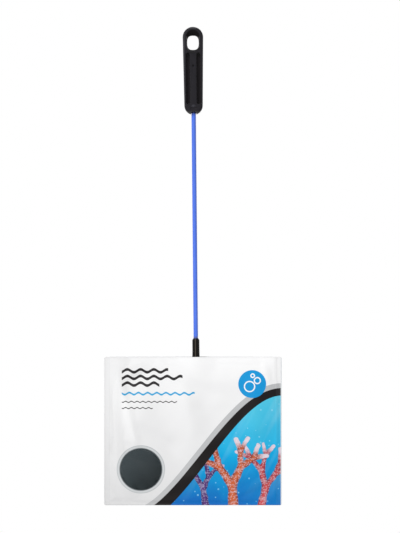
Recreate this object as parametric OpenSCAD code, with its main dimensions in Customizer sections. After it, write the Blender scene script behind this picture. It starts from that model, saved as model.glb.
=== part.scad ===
// Aquarium fish net with a moulded handle, a coated wire stem and a wire hoop with a folded
// mesh bag, packed in a flat film pouch. The net hangs upright from the slot in its handle.
// The origin is the centre of that slot. +Z runs up along the stem and the front faces -Y.

/* [Handle] */
// Radius of the round top end, seen from the front
handle_top_r = 9.26; // [8.6:0.1:10.6]
// Radius of the round nose, seen from the front
handle_nose_r = 8.35; // [7.6:0.1:9.4]
// Length of the handle from its top to its nose
handle_l = 79.4; // [72:0.1:95]
// Thickness of the handle from front to back
handle_t = 9; // [8.4:0.1:10.5]
// Radius on the long edges
handle_edge_r = 2; // [1.2:0.1:2.6]
// Width of the hang slot at its narrowest, in the middle of the thickness
slot_w = 10.5; // [9:0.1:11.6]
// Height of the hang slot at its narrowest
slot_h = 12.9; // [11:0.1:15]
// Share that shapes the slot's oval, where 1 is an ellipse and less makes its corners fuller
slot_curve_share = 0.71; // [0.5:0.01:1]
// Material between the top of the slot and the top of the handle, in the middle of the thickness
slot_bar = 7.85; // [7:0.05:10]
// Height of the scoop above the slot, on the handle's face
scoop_up = 5.3; // [3:0.1:5.9]
// Height of the bevel below the slot, on the handle's face
scoop_down = 3; // [1.5:0.1:3.6]
// Width of the bevel at each side of the slot, on the handle's face
scoop_side = 0.9; // [0.5:0.1:1.2]
// Inset of the scoops in the middle of the thickness, which leaves a straight rim in the slot
slot_rim = 0.5; // [0.3:0.05:1]
// Width of a long groove at the face
groove_w = 4.2; // [2.8:0.1:4.4]
// Width of a long groove at its floor
groove_floor_w = 3; // [2:0.1:3.6]
// Depth of a long groove
groove_depth = 3.1; // [1.5:0.1:3.4]
// Width of the land between the two grooves
land_w = 5.5; // [4.8:0.1:6]
// Distance from the slot's centre down to the top of the grooves
groove_drop = 9; // [8.8:0.1:12]
// Length of a groove
groove_l = 47.1; // [36:0.1:48]
// Diameter of the gate dimple in the land
dimple_d = 1.5; // [0.8:0.1:2.4]
// Depth of the gate dimple
dimple_depth = 0.6; // [0.3:0.1:0.9]
// Distance from the slot's centre down to the gate dimple
dimple_drop = 20.8; // [16:0.1:40]
// Radius of the notch across the nose, where the stem goes in
mouth_r = 2.5; // [2.3:0.1:3]
// Height of the notch across the nose
mouth_h = 2.9; // [1.5:0.1:3.2]
// Radius of the shallow trough above the notch
trough_r = 1.6; // [1.2:0.1:2.4]
// Depth of the shallow trough
trough_depth = 0.4; // [0.2:0.05:0.6]
// Width of the shallow trough
trough_w = 6; // [4:0.1:8]
// Distance from the nose up to the shallow trough
trough_rise = 5.5; // [4.5:0.1:6.5]

/* [Stem] */
// Diameter of the blue plastic coat
stem_d = 4.05; // [3.6:0.05:4.4]
// Diameter of the steel wire inside the coat
stem_core_d = 2.2; // [1.8:0.05:2.6]
// Length of the stem that shows between the handle's nose and the ferrule
stem_l = 202.5; // [120:0.5:320]
// Depth of the coat's socket in the handle
socket_depth = 12; // [8:0.5:16]
// Length of bare wire past the end of the coat, in the handle
core_grip = 17; // [8:0.5:24]

/* [Ferrule] */
// Diameter of the ferrule's straight middle
ferrule_d = 6.5; // [6.2:0.05:7.4]
// Diameter of the ferrule's foot
ferrule_foot_d = 6.9; // [6.8:0.05:7.8]
// Length of the ferrule
ferrule_l = 19.4; // [18:0.1:26]
// Height of the sloped shoulder
shoulder_h = 1.6; // [1.2:0.1:3]
// Height of the slight flare down to the foot
flare_h = 7.6; // [4:0.1:9]
// Thickness of the shoulder's top edge round the coat
shoulder_lip = 0.2; // [0.1:0.05:0.4]
// Length of the coat inside the ferrule
coat_grip = 7.8; // [5:0.1:9]
// Thickness of the ferrule's wall round the weld
ferrule_wall = 0.5; // [0.4:0.05:0.6]
// Length of the hoop's coat inside the ferrule's foot
foot_grip = 3; // [2:0.1:4]
// Diameter of a weld bead
bead_d = 1.2; // [0.9:0.1:1.3]
// Distance of a weld bead's middle in front of or behind the wires' middle plane
bead_y = 0.85; // [0.8:0.05:1]

/* [Hoop] */
// Width of the net head over its hem
head_w = 142; // [100:1:200]
// Height of the net head over its hem
head_h = 122; // [90:1:170]
// Radius of the hoop's corners, at the middle of the wire
corner_r = 22; // [14:1:34]
// Radius of the bend below the ferrule, at the middle of the wire
neck_r = 4; // [3:0.1:6]
// Straight length of each tail between the ferrule and that bend
neck_gap = 1; // [0.5:0.1:4]
// Diameter of the hoop's steel wire
hoop_core_d = 1.5; // [1.2:0.05:1.6]
// Diameter of the hoop's plastic coat
hoop_coat_d = 2.6; // [2.4:0.05:2.8]
// Length of each bare tail beside the stem's wire
tail_l = 6.5; // [4:0.1:7.5]

/* [Net] */
// Thickness of the doubled mesh round the hoop
hem_t = 0.35; // [0.2:0.05:0.6]
// Gap at each side of the ferrule's middle line where the hem starts
hem_start = 8; // [6:0.5:14]
// Thickness of the bag's wall of mesh
bag_t = 0.5; // [0.4:0.05:0.8]
// Depth of the folded bag behind the middle of the hoop's wire
bag_depth = 6.5; // [5:0.1:12]
// Depth of the folded bag at the hoop
bag_edge = 2.7; // [2.3:0.05:3.2]
// Radius of the bag's curve from its floor to the hoop's top and bottom
bag_end_r = 20; // [14:0.5:30]

/* [Pouch] */
// Thickness of the film
film_t = 0.25; // [0.15:0.05:0.4]
// Width of the welded seams at the sides and the bottom
seal_w = 4.2; // [3:0.1:7]
// Sideways shift of the pouch's mouth on the net, towards -X
pouch_shift = 2.75; // [0:0.05:5]
// Tilt of the pouch on the net, in degrees
pouch_lean = 0.55; // [0:0.05:1]
// Height of the ferrule's foot inside the pouch's mouth
mouth_cover = 2.6; // [1.5:0.1:10]
// Gap between the net head and the pouch's side at its tightest
side_gap = 1.2; // [0.3:0.05:4]
// Gap between the net head and the welded bottom seam
bottom_gap = 2.1; // [0.8:0.05:6]
// Gap between the ferrule's foot and the film
foot_gap = 0.35; // [0.3:0.05:2]
// Gap between the folded bag and the back film
back_gap = 1; // [0.6:0.05:3]
// Radius of the front film's curve down to the bottom seam
front_end_r = 10; // [7:0.5:16]
// Radius of the back film's curve down to the bottom seam
back_end_r = 16; // [11:0.5:24]
// Radius of the pouch's corners
pouch_corner_r = 1.8; // [0.5:0.1:4]

/* [Hidden] */
$fn = 96;
over = 0.5;
shell_fn = 56;
edge_fn = 20;
arc_step = 2;
slot_turn = 5;
sketch_t = 0.05;

// Heights along the handle, from the slot's centre
slot_top_z = slot_h / 2;
handle_top_z = slot_top_z + slot_bar;
nose_z = handle_top_z - handle_l;
top_centre_z = handle_top_z - handle_top_r;
nose_centre_z = nose_z + handle_nose_r;
groove_x = (land_w + groove_w) / 2;
scoop_r = slot_w / 2 + scoop_side;
coat_top_z = nose_z + socket_depth;
core_top_z = coat_top_z + core_grip;

// Heights along the stem and the ferrule
ferrule_top_z = nose_z - stem_l;
ferrule_end_z = ferrule_top_z - ferrule_l;
coat_end_z = ferrule_top_z - coat_grip;
weld_floor_z = ferrule_end_z + foot_grip;
core_end_z = weld_floor_z;
tail_x = (stem_core_d + hoop_core_d) / 2;
tail_top_z = weld_floor_z + tail_l;
weld_room_r = ferrule_d / 2 - ferrule_wall;
bead_z_shares = [0.3, 0.75];

// The hoop, along the middle of its wire
hem_r = hoop_coat_d / 2 + hem_t;
hoop_x = head_w / 2 - hem_r;
neck_z = ferrule_end_z - neck_gap;
hoop_top_z = neck_z - neck_r;
hoop_end_z = hoop_top_z + hem_r - head_h + hem_r;
hoop_h = hoop_top_z - hoop_end_z;
hoop_mid_z = (hoop_top_z + hoop_end_z) / 2;

// The pouch, in its own frame: x across, y through, z down from its mouth as negative numbers
mouth_z = ferrule_end_z + mouth_cover;
head_end = mouth_z - hoop_end_z + hem_r;
lean_run = pouch_shift + head_end * tan(pouch_lean);
inner_half = head_w / 2 + lean_run + side_gap;
pouch_w = 2 * (inner_half + seal_w);
inner_h = head_end + bottom_gap;
pouch_h = inner_h + seal_w;
side_r = ferrule_foot_d / 2 + foot_gap;
side_x = inner_half - side_r;
front_d = side_r;
back_d = bag_depth + back_gap;

// Radius of the large arc of depth d that runs smoothly into a side arc of radius r centred at x
function tangent_r(x, d, r) = (x * x / (d - r) + r + d) / 2;

// Half width at which that large arc meets the side arc
function tangent_x(x, d, r) = x + r * x / (tangent_r(x, d, r) - r);

// Radius of the arc of depth d over a chord with half length x
function crown_r(x, d) = (x * x + d * d) / (2 * d);

// Number of sides for a large arc, so that each side is one arc_step long
function arc_fn(r) = ceil(2 * PI * r / arc_step);

// How far the slot's oval reaches along a half axis, where an ellipse reaches the share s of it
function oval_reach(half, s) = half * sign(s) * pow(abs(s), slot_curve_share);

// Length along Z of an end arc of radius r that falls by d from the flat stretch
function fall(r, d) = sqrt(r * r - pow(r - d, 2));

module handle() {
    color([0.16, 0.16, 0.18])
    difference() {
        union() {
            handle_body();
            both_faces() nose_bump();
        }
        hang_slot();
        both_faces() {
            groove(groove_x);
            groove(-groove_x);
            nose_trough();
        }
        gate_dimple();
        nose_mouth();
        stem_socket();
    }
}

// Two round ends with the tapered grip stretched between them
module handle_body() {
    hull() {
        rounded_disc(top_centre_z, handle_top_r);
        rounded_disc(nose_centre_z, handle_nose_r);
    }
}

// A flat disc that stands on its rim, with round edges
module rounded_disc(z, r) {
    e = handle_edge_r;
    translate([0, 0, z]) rotate([90, 0, 0])
    rotate_extrude($fn = shell_fn) {
        translate([0, -handle_t / 2]) square([r - e, handle_t]);
        translate([0, e - handle_t / 2]) square([r, handle_t - 2 * e]);
        for (s = [-1, 1]) translate([r - e, s * (handle_t / 2 - e)]) circle(e, $fn = edge_fn);
    }
}

// Draws its children on the front face and again, mirrored, on the back face
module both_faces() {
    children();
    mirror([0, 1, 0]) children();
}

// Lays a flat outline drawn in X and Z at depth y, with thickness t towards the back
module plate(y, t) {
    translate([0, y + t, 0]) rotate([90, 0, 0]) linear_extrude(t) children();
}

// The slot's outline, a full oval drawn inwards by inset
module slot_outline(inset) {
    polygon([
        for (t = [0 : slot_turn : 360 - slot_turn])
            [oval_reach(slot_w / 2 - inset, cos(t)), oval_reach(slot_h / 2 - inset, sin(t))]
    ]);
}

module scoop_outline() {
    translate([0, slot_top_z + scoop_up - scoop_r]) circle(scoop_r, $fn = shell_fn);
    translate([0, scoop_r - slot_top_z - scoop_down]) circle(scoop_r, $fn = shell_fn);
}

module hang_slot() {
    plate(-handle_t, 2 * handle_t) slot_outline(0);
    both_faces() hull() {
        plate(-handle_t / 2 - over, over) scoop_outline();
        plate(-sketch_t, sketch_t) slot_outline(slot_rim);
    }
}

// One long groove in the front face, with sloped walls and round ends
module groove(x) {
    slope = (groove_w - groove_floor_w) / 2 / groove_depth;
    lip_r = groove_w / 2 + slope * over;
    floor_r = groove_floor_w / 2;
    deep = groove_depth + over;
    run = groove_l - groove_w;
    translate([x, groove_depth - handle_t / 2, -groove_drop - groove_w / 2]) {
        for (z = [0, -run]) translate([0, 0, z]) rotate([90, 0, 0]) cylinder(deep, floor_r, lip_r);
        translate([0, 0, -run]) linear_extrude(run)
            polygon([[-floor_r, 0], [floor_r, 0], [lip_r, -deep], [-lip_r, -deep]]);
    }
}

module gate_dimple() {
    translate([0, dimple_depth - handle_t / 2, -dimple_drop]) rotate([90, 0, 0])
        cylinder(dimple_depth + over, d = dimple_d, $fn = edge_fn);
}

module nose_trough() {
    translate([0, trough_depth - trough_r - handle_t / 2, nose_z + trough_rise])
        rotate([0, 90, 0]) cylinder(trough_w, r = trough_r, center = true);
}

// A low round pip above the trough
module nose_bump() {
    translate([0, trough_r - trough_depth - handle_t / 2, nose_z + trough_rise + trough_r + trough_depth])
        sphere(trough_r, $fn = shell_fn);
}

module nose_mouth() {
    translate([0, 0, nose_z + mouth_h - mouth_r]) rotate([90, 0, 0])
        cylinder(2 * handle_t, r = mouth_r, center = true);
}

module stem_socket() {
    translate([0, 0, nose_z - over]) cylinder(socket_depth + over, d = stem_d);
    translate([0, 0, nose_z]) cylinder(socket_depth + core_grip, d = stem_core_d);
}

module stem_core() {
    color([0.72, 0.73, 0.75])
    translate([0, 0, core_end_z]) cylinder(core_top_z - core_end_z, d = stem_core_d);
}

module stem_coat() {
    color([0.25, 0.42, 0.86])
    translate([0, 0, coat_end_z]) linear_extrude(coat_top_z - coat_end_z)
        ring(stem_d / 2, stem_core_d / 2);
}

// A flat ring, or a full disc where the inner radius is 0
module ring(r_out, r_in) {
    difference() {
        circle(r_out);
        if (r_in > 0) circle(r_in);
    }
}

module ferrule() {
    color([0.11, 0.1, 0.1])
    difference() {
        translate([0, 0, ferrule_end_z]) rotate_extrude() ferrule_profile();
        translate([0, 0, coat_end_z]) cylinder(coat_grip + over, d = stem_d);
        translate([0, 0, weld_floor_z]) cylinder(coat_end_z - weld_floor_z, r = weld_room_r);
        for (s = [-1, 1]) translate([s * tail_x, 0, ferrule_end_z - over])
            cylinder(foot_grip + 2 * over, d = hoop_coat_d);
    }
}

module ferrule_profile() {
    polygon([
        [0, 0],
        [ferrule_foot_d / 2, 0],
        [ferrule_d / 2, flare_h],
        [ferrule_d / 2, ferrule_l - shoulder_h],
        [stem_d / 2 + shoulder_lip, ferrule_l],
        [0, ferrule_l]
    ]);
}

// Beads in the valleys between the stem's wire and the two tails
module weld_beads() {
    color([0.55, 0.54, 0.52])
    difference() {
        for (share = bead_z_shares, sx = [-1, 1], sy = [-1, 1])
            translate([sx * stem_core_d / 2, sy * bead_y, weld_floor_z + share * tail_l])
                sphere(d = bead_d);
        translate([0, 0, weld_floor_z]) cylinder(tail_l, d = stem_core_d);
        for (s = [-1, 1]) translate([s * tail_x, 0, weld_floor_z]) cylinder(tail_l, d = hoop_core_d);
    }
}

// A straight stretch of wire or tube along Z, between two heights
module run_z(x, z_low, z_high, r_out, r_in) {
    translate([x, 0, z_low]) linear_extrude(z_high - z_low) ring(r_out, r_in);
}

// A straight stretch of wire or tube along X, between two places
module run_x(z, x_low, x_high, r_out, r_in) {
    translate([x_low, 0, z]) rotate([90, 0, 90]) linear_extrude(x_high - x_low) ring(r_out, r_in);
}

// A bend of wire or tube in the plane of the hoop
module bend(x, z, r, from, turn, r_out, r_in) {
    translate([x, 0, z]) rotate([90, 0, 0])
        rotate_extrude(start = from, angle = turn) translate([r, 0]) ring(r_out, r_in);
}

// The right half of the hoop, from a place on its top stretch round to the middle of its foot
module hoop_half(x_from, r_out, r_in) {
    x_turn = hoop_x - corner_r;
    run_x(hoop_top_z, x_from, x_turn, r_out, r_in);
    bend(x_turn, hoop_top_z - corner_r, corner_r, 0, 90, r_out, r_in);
    run_z(hoop_x, hoop_end_z + corner_r, hoop_top_z - corner_r, r_out, r_in);
    bend(x_turn, hoop_end_z + corner_r, corner_r, 270, 90, r_out, r_in);
    run_x(hoop_end_z, 0, x_turn, r_out, r_in);
}

// The tail that leaves the ferrule and bends into the hoop's top stretch
module hoop_tail(z_top, r_out, r_in) {
    run_z(tail_x, neck_z, z_top, r_out, r_in);
    bend(tail_x + neck_r, neck_z, neck_r, 180, 90, r_out, r_in);
}

module both_sides() {
    children();
    mirror([1, 0, 0]) children();
}

module hoop_core() {
    r = hoop_core_d / 2;
    color([0.72, 0.73, 0.75])
    both_sides() {
        hoop_tail(tail_top_z, r, 0);
        hoop_half(tail_x + neck_r, r, 0);
    }
}

module hoop_coat() {
    color([0.25, 0.42, 0.86])
    both_sides() {
        hoop_tail(weld_floor_z, hoop_coat_d / 2, hoop_core_d / 2);
        hoop_half(tail_x + neck_r, hoop_coat_d / 2, hoop_core_d / 2);
    }
}

module net_hem() {
    color([0.17, 0.2, 0.21])
    both_sides() hoop_half(hem_start, hem_r, hoop_coat_d / 2);
}

// The outline of the bag, drawn inwards from the middle of the hoop's wire
module bag_outline(inset) {
    r = corner_r - inset;
    w = 2 * (hoop_x - inset);
    h = hoop_h - 2 * inset;
    translate([0, hoop_mid_z]) {
        square([w - 2 * r, h], center = true);
        square([w, h - 2 * r], center = true);
        for (sx = [-1, 1], sz = [-1, 1]) translate([sx * (w / 2 - r), sz * (h / 2 - r)]) circle(r);
    }
}

// The curve of the bag's floor across the hoop, from the front plane to its depth
module bag_section(inset) {
    drop = bag_depth - bag_edge;
    r = crown_r(hoop_x, drop);
    intersection() {
        translate([0, bag_depth - r]) circle(r - inset, $fn = arc_fn(r));
        translate([-hoop_x - over, -bag_depth]) square([2 * (hoop_x + over), 3 * bag_depth]);
    }
}

// The curve of the bag's floor from the hoop's top to its foot, drawn in Y and Z
module bag_profile(inset) {
    drop = bag_depth - bag_edge;
    flat = hoop_h / 2 - fall(bag_end_r, drop);
    translate([-bag_depth, -flat]) square([2 * bag_depth - inset, 2 * flat]);
    for (s = [-1, 1]) intersection() {
        translate([bag_depth - bag_end_r, s * flat]) circle(bag_end_r - inset);
        translate([-bag_depth, min(s * flat, s * hoop_h)]) square([3 * bag_depth, hoop_h - flat]);
    }
}

module bag_solid(inset) {
    intersection() {
        plate(-bag_depth, 2 * bag_depth) bag_outline(inset);
        translate([0, 0, hoop_end_z - over]) linear_extrude(hoop_h + 2 * over) bag_section(inset);
        translate([-head_w / 2, 0, hoop_mid_z]) rotate([90, 0, 90]) linear_extrude(head_w)
            bag_profile(inset);
    }
}

module net_bag() {
    color([0.24, 0.28, 0.29])
    difference() {
        bag_solid(0);
        bag_solid(bag_t);
        plate(-bag_depth - over, bag_depth + over) bag_outline(-over);
        both_sides() hoop_half(0, hem_r, 0);
    }
}

// Sets a shape that is drawn in the pouch's own frame on the net
module in_pouch() {
    translate([-pouch_shift, 0, mouth_z]) rotate([0, pouch_lean, 0]) children();
}

// Half of the pouch's inside across its width, grown by g. s is -1 for the flat front and 1 for
// the back, whose wide arc of depth d runs smoothly into the side arcs
module pouch_section(g, d, s) {
    for (e = [-1, 1]) translate([e * side_x, 0]) circle(side_r + g);
    if (d > side_r) {
        r = tangent_r(side_x, d, side_r);
        x = tangent_x(side_x, d, side_r);
        intersection() {
            translate([0, s * (d - r)]) circle(r + g, $fn = arc_fn(r));
            translate([-x, min(0, s * 2 * d)]) square([2 * x, 2 * d]);
        }
    } else {
        translate([-side_x, min(0, s * (d + g))]) square([2 * side_x, d + g]);
    }
}

// The inside of the pouch from its mouth to the bottom seam, drawn in Y and Z
module pouch_profile(g, d, end_r, s) {
    straight = inner_h - fall(end_r, d);
    translate([min(0, s * (d + g)), -straight]) square([d + g, straight + over]);
    intersection() {
        translate([s * (d - end_r), -straight]) circle(end_r + g);
        translate([min(0, s * 2 * d), -pouch_h]) square([2 * d, pouch_h - straight]);
    }
}

module pouch_solid(g, d, end_r, s) {
    intersection() {
        translate([0, 0, -pouch_h]) linear_extrude(pouch_h + over) pouch_section(g, d, s);
        translate([-pouch_w / 2, 0, 0]) rotate([90, 0, 90]) linear_extrude(pouch_w)
            pouch_profile(g, d, end_r, s);
    }
}

module pouch_outline() {
    r = pouch_corner_r;
    translate([0, -pouch_h / 2]) {
        square([pouch_w - 2 * r, pouch_h], center = true);
        square([pouch_w, pouch_h - 2 * r], center = true);
        for (sx = [-1, 1], sz = [-1, 1])
            translate([sx * (pouch_w / 2 - r), sz * (pouch_h / 2 - r)]) circle(r, $fn = edge_fn);
    }
}

// One film of depth d: the flat seams and the raised middle. s is -1 in front and 1 behind
module film(d, end_r, s) {
    difference() {
        intersection() {
            union() {
                plate(min(0, s * film_t), film_t) pouch_outline();
                pouch_solid(film_t, d, end_r, s);
            }
            plate(min(0, s * (d + film_t)), d + film_t) pouch_outline();
        }
        pouch_solid(0, d, end_r, s);
    }
}

module pouch_front() {
    color([0.95, 0.95, 0.96]) in_pouch() film(front_d, front_end_r, -1);
}

module pouch_back() {
    color([0.9, 0.91, 0.92]) in_pouch() film(back_d, back_end_r, 1);
}

handle();
stem_core();
stem_coat();
ferrule();
weld_beads();
hoop_core();
hoop_coat();
net_hem();
net_bag();
pouch_front();
pouch_back();
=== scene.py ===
import math
import random

import bmesh
import bpy
from mathutils import Matrix, Vector, noise


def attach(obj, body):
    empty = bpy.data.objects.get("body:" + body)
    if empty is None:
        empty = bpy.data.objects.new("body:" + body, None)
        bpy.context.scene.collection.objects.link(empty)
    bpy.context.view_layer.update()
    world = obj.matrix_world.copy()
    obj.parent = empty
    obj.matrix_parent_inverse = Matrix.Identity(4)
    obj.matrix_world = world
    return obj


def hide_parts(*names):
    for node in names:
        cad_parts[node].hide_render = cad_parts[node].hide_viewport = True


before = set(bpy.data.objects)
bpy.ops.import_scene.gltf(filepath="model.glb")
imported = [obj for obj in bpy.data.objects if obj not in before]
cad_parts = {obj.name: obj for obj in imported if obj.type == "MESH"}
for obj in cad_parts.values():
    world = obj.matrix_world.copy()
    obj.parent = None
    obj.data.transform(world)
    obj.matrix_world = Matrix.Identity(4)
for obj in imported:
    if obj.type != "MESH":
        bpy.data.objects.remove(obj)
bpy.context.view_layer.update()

# One millimetre in metres
MM = 0.001
# The part's own sizes, in millimetres, as its source gives them
HOOP_X, HOOP_TOP, HOOP_END = 69.35, -292.0, -410.7
CORNER_R, COAT_R, HEM_R, HEM_START = 22.0, 1.3, 1.65, 8.0
POUCH_W, POUCH_H, SEAL_W = 160.76, 134.25, 4.2
POUCH_SHIFT, POUCH_LEAN, MOUTH_Z = 2.75, 0.55, -284.4
SIDE_R, FILM_T = 3.8, 0.25
BACK_D, BACK_END_R = 7.5, 16.0
FILM_CORNER_R = 1.8

# The photograph's frame: its height in millimetres at the part, and its centre seen from the slot
VIEW_H = 482.9
VIEW_X, VIEW_Z = 6.37, -202.58
VIEW_ROLL = 0.0096


def srgb(r, g, b):
    """A colour given as 0 to 255 in sRGB, as the linear colour that a shader takes."""
    def linear(c):
        c = c / 255
        return c / 12.92 if c <= 0.04045 else ((c + 0.055) / 1.055) ** 2.4

    return (linear(r), linear(g), linear(b), 1.0)


def grey(level):
    return srgb(level, level, level)


# Nodes written as plain sums

class Value:
    """A value in a material, which sums and comparisons turn into math nodes."""

    def __init__(self, tree, socket):
        self.tree, self.socket = tree, socket

    def math(self, operation, *others, clamp=False):
        node = self.tree.nodes.new("ShaderNodeMath")
        node.operation, node.use_clamp = operation, clamp
        for slot, value in zip(node.inputs, (self, *others)):
            put(self.tree, slot, value)
        return Value(self.tree, node.outputs[0])

    def __add__(self, other):
        return self.math("ADD", other)

    def __sub__(self, other):
        return self.math("SUBTRACT", other)

    def __mul__(self, other):
        return self.math("MULTIPLY", other)

    def __truediv__(self, other):
        return self.math("DIVIDE", other)

    def __neg__(self):
        return self * -1.0

    def __rsub__(self, other):
        return -self + other

    __radd__, __rmul__ = __add__, __mul__

    def abs(self):
        return self.math("ABSOLUTE")

    def sin(self):
        return self.math("SINE")

    def sqrt(self):
        return self.math("SQRT")

    def max(self, other):
        return self.math("MAXIMUM", other)

    def over(self, edge, soft=0.2):
        """1 where the value is over the edge, 0 where it is under, with a soft step between."""
        return ((self - edge) * (1 / soft)).math("ADD", 0.5, clamp=True)

    def under(self, edge, soft=0.2):
        """1 where the value is under the edge, 0 where it is over, with a soft step between."""
        return ((edge - self) * (1 / soft)).math("ADD", 0.5, clamp=True)


def put(tree, slot, value):
    """Links a value to a socket, or writes a plain number or colour into it."""
    if isinstance(value, Value):
        tree.links.new(value.socket, slot)
    else:
        slot.default_value = value


def reach(across, up):
    """Distance of a point from a centre, from how far it lies across and up from it."""
    return (across * across + up * up).sqrt()


class Finish:
    """One material, with short ways to the nodes that the finishes here use."""

    def __init__(self, name, **sockets):
        self.material = bpy.data.materials.new(name)
        self.material.use_nodes = True
        self.tree = self.material.node_tree
        self.shader = self.tree.nodes["Principled BSDF"]
        for key, value in sockets.items():
            self.set(key.replace("_", " ").title().replace("Ior", "IOR"), value)

    def node(self, kind, **settings):
        node = self.tree.nodes.new("ShaderNode" + kind)
        for key, value in settings.items():
            setattr(node, key, value)
        return node

    def set(self, name, value):
        put(self.tree, self.shader.inputs[name], value)

    def place(self, stretch=1.0, at=(0, 0, 0), turn=(0, 0, 0)):
        """Object coordinates in millimetres, centred and turned, with Z drawn out by stretch."""
        mapping = self.node("Mapping", vector_type="TEXTURE")
        self.tree.links.new(self.node("TexCoord").outputs["Object"], mapping.inputs["Vector"])
        mapping.inputs["Location"].default_value = [MM * a for a in at]
        mapping.inputs["Rotation"].default_value = turn
        mapping.inputs["Scale"].default_value = (MM, MM, MM * stretch)
        return Value(self.tree, mapping.outputs[0])

    def split(self, vector):
        """The three parts of a vector or colour."""
        node = self.node("SeparateXYZ")
        put(self.tree, node.inputs[0], vector)
        return [Value(self.tree, out) for out in node.outputs]

    def join(self, x, y, z=0.0):
        node = self.node("CombineXYZ")
        for slot, value in zip(node.inputs, (x, y, z)):
            put(self.tree, slot, value)
        return Value(self.tree, node.outputs[0])

    def noise(self, vector, scale=1.0, detail=2.0, rough=0.5, twist=0.0):
        node = self.node("TexNoise")
        put(self.tree, node.inputs["Vector"], vector)
        settings = {"Scale": scale, "Detail": detail, "Roughness": rough, "Distortion": twist}
        for key, value in settings.items():
            node.inputs[key].default_value = value
        return Value(self.tree, node.outputs["Fac"])

    def cells(self, vector, scale, feature="F1", out="Distance"):
        """Flat cells: the distance that the feature measures in them, or each cell's own Color."""
        node = self.node("TexVoronoi", feature=feature, voronoi_dimensions="2D")
        put(self.tree, node.inputs["Vector"], vector)
        node.inputs["Scale"].default_value = scale
        return Value(self.tree, node.outputs[out])

    def mix(self, share, first, second):
        node = self.node("Mix", data_type="RGBA")
        put(self.tree, node.inputs[0], share)
        put(self.tree, node.inputs[6], first)
        put(self.tree, node.inputs[7], second)
        return Value(self.tree, node.outputs[2])

    def coats(self, base, *coats):
        """A base under coats of colour, each laid on by its own share."""
        for share, shade in coats:
            base = self.mix(share, base, shade)
        return base

    def spread(self, value, low, high, to_low=0.0, to_high=1.0):
        """A value between low and high, spread out evenly between two new ends."""
        node = self.node("MapRange", clamp=True)
        for slot, number in zip(node.inputs, (value, low, high, to_low, to_high)):
            put(self.tree, slot, number)
        return Value(self.tree, node.outputs[0])

    def bump(self, height, depth_mm, strength=1.0, under=None):
        """A bump of height 0 to 1 that is depth_mm deep."""
        node = self.node("Bump")
        put(self.tree, node.inputs["Height"], height)
        node.inputs["Distance"].default_value = depth_mm * MM
        node.inputs["Strength"].default_value = strength
        if under is not None:
            put(self.tree, node.inputs["Normal"], under)
        value = Value(self.tree, node.outputs[0])
        self.set("Normal", value)
        return value


def mesh_piece(name, bm, finish, body, smooth_angle=None):
    """Turns a bmesh in millimetres into a piece that rides on a body."""
    mesh = bpy.data.meshes.new(name)
    bmesh.ops.scale(bm, vec=(MM, MM, MM), verts=bm.verts)
    bm.to_mesh(mesh)
    bm.free()
    mesh.shade_smooth()
    if smooth_angle is not None:
        mesh.set_sharp_from_angle(angle=math.radians(smooth_angle))
    mesh.materials.append(finish.material)
    piece = bpy.data.objects.new(name, mesh)
    bpy.context.scene.collection.objects.link(piece)
    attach(piece, body)
    return piece


def dress(node, finish):
    """Gives a CAD node its finish."""
    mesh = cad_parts[node].data
    mesh.materials.clear()
    mesh.materials.append(finish.material)


# Curves that the soft shapes are made of

def unit(t):
    """A number held between 0 and 1."""
    return min(1.0, max(0.0, t))


def ease(t):
    """A smooth step from 0 to 1."""
    t = unit(t)
    return t * t * (3 - 2 * t)


def ramp(t):
    """A straight rise to 1 that rounds off softly at its end."""
    s = unit((t - 0.7) / 0.6)
    return min(t, 0.7) + 0.6 * (s - s ** 3 + s ** 4 / 2)


def hump(off, wide):
    """Height at a distance off the middle of a soft hump that is 1 high."""
    return math.exp(-(off / wide) ** 2)


# The pouch, in its own frame: x from its middle and z up from its mouth

POUCH_TURN = math.radians(POUCH_LEAN)
INNER_HALF = POUCH_W / 2 - SEAL_W
INNER_H = POUCH_H - SEAL_W
SIDE_X = INNER_HALF - SIDE_R
# Radius of the wide arc of the back, where it meets the round sides, and height of the curve at its foot
WIDE_R = (SIDE_X ** 2 / (BACK_D - SIDE_R) + SIDE_R + BACK_D) / 2
MEETS_X = SIDE_X + SIDE_R * SIDE_X / (WIDE_R - SIDE_R)
END_H = math.sqrt(BACK_END_R ** 2 - (BACK_END_R - BACK_D) ** 2)
# How far in from each seam the front film has risen over the hoop
HOOP_LEFT, HOOP_RIGHT, HOOP_FOOT = 10.5, 3.2, 4.4
# How far in front of the net's middle the film lies there, and at the seams
OVER_HOOP, SEAM_Y = 2.1, 1.5
# How far below the mouth the front film's crest lies at the left, and how much further at the right
CREST_DROP, CREST_SLANT = 6, 14
# Height of the crest at the left, and how much higher it is at the right
CREST_H, CREST_SWELL = 0.6, 1.5
# How far the mouth's lips are drawn in beside the ferrule, and how high the film rises over it
LIPS_IN, OVER_FERRULE = 0.9, 1.6


def to_net(x, y, z):
    """A point in the pouch's frame, in millimetres, as a point in the net's frame."""
    c, s = math.cos(POUCH_TURN), math.sin(POUCH_TURN)
    return Vector((x * c + z * s - POUCH_SHIFT, y, z * c - x * s + MOUTH_Z))


def from_seam(x, z):
    """Distance in from the nearest seam's inner edge."""
    return max(0.0, min(INNER_HALF - abs(x), INNER_H + z))


def over_hoop(x, z):
    """Depth of the front film where it is drawn tight from its seams over the hoop."""
    side = (INNER_HALF - abs(x)) / (HOOP_RIGHT if x > 0 else HOOP_LEFT)
    foot = (INNER_H + z) / HOOP_FOOT
    rise = math.sin(math.pi / 2 * unit(min(side, foot)))
    return SEAM_Y + (OVER_HOOP - SEAM_Y) * rise


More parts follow.
